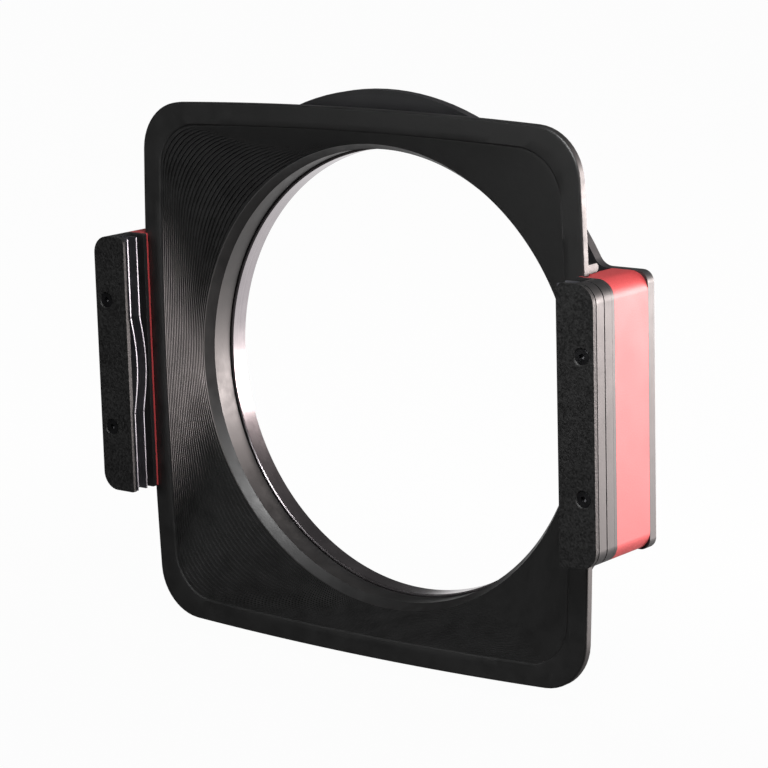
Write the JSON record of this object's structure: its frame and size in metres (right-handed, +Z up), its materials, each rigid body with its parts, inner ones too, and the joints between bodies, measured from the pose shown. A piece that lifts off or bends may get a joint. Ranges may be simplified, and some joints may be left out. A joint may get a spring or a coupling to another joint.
{
  "type": "square filter holder",
  "caption": "Square filter holder with a bowed light hood, slotted side guides on coloured spacer blocks and a turning round lens ring.",
  "frame": {"origin": "on the optical axis, in the rear face of the lens ring", "axes": "+Y along the optical axis from the scene to the lens, +Z up, +X to the right seen from the scene"},
  "size_m": [0.1632, 0.036, 0.1518],
  "materials": {
    "black_anodised": "sand-blasted, black anodised",
    "red_anodised": "satin, red anodised",
    "black_moulding": "matte",
    "black_spring_steel": "blackened",
    "bright_black": "polished, black anodised",
    "black_steel": "black oxide",
    "knurled_black": "black oxide, knurled"
  },
  "bodies": {
    "ring": {"lens_ring": "bright_black"},
    "holder": {"left_front_plate": "black_anodised", "left_front_leaf": "black_spring_steel", "left_front_slot_bar": "black_anodised", "left_rear_leaf": "black_spring_steel", "left_rear_slot_bar": "black_anodised", "left_slot_shim": "black_anodised", "left_spacer_block": "red_anodised", "left_upper_guide_screw": "black_steel", "left_lower_guide_screw": "black_steel", "right_front_plate": "black_anodised", "right_front_leaf": "black_spring_steel", "right_front_slot_bar": "black_anodised", "right_rear_leaf": "black_spring_steel", "right_rear_slot_bar": "black_anodised", "right_slot_shim": "black_anodised", "right_spacer_block": "red_anodised", "right_upper_guide_screw": "black_steel", "right_lower_guide_screw": "black_steel", "main_frame": "black_anodised", "light_hood": "black_moulding", "keeper_ring": "black_anodised", "keeper_screw_1": "black_steel", "hood_screw_1": "black_steel", "keeper_screw_2": "black_steel", "hood_screw_2": "black_steel", "keeper_screw_3": "black_steel", "hood_screw_3": "black_steel", "keeper_screw_4": "black_steel", "hood_screw_4": "black_steel"},
    "lock": {"lock_screw": "knurled_black"}
  },
  "joints": [
    {"name": "holder_turn", "type": "hinge", "parent": "ring", "child": "holder", "pos_m": [0, 0, 0], "axis": [0, 1, 0], "continuous": true},
    {"name": "lock_turn", "type": "hinge", "parent": "holder", "child": "lock", "pos_m": [0, -0.0039, -0.073], "axis": [0, 0, 1], "continuous": true}
  ]
}
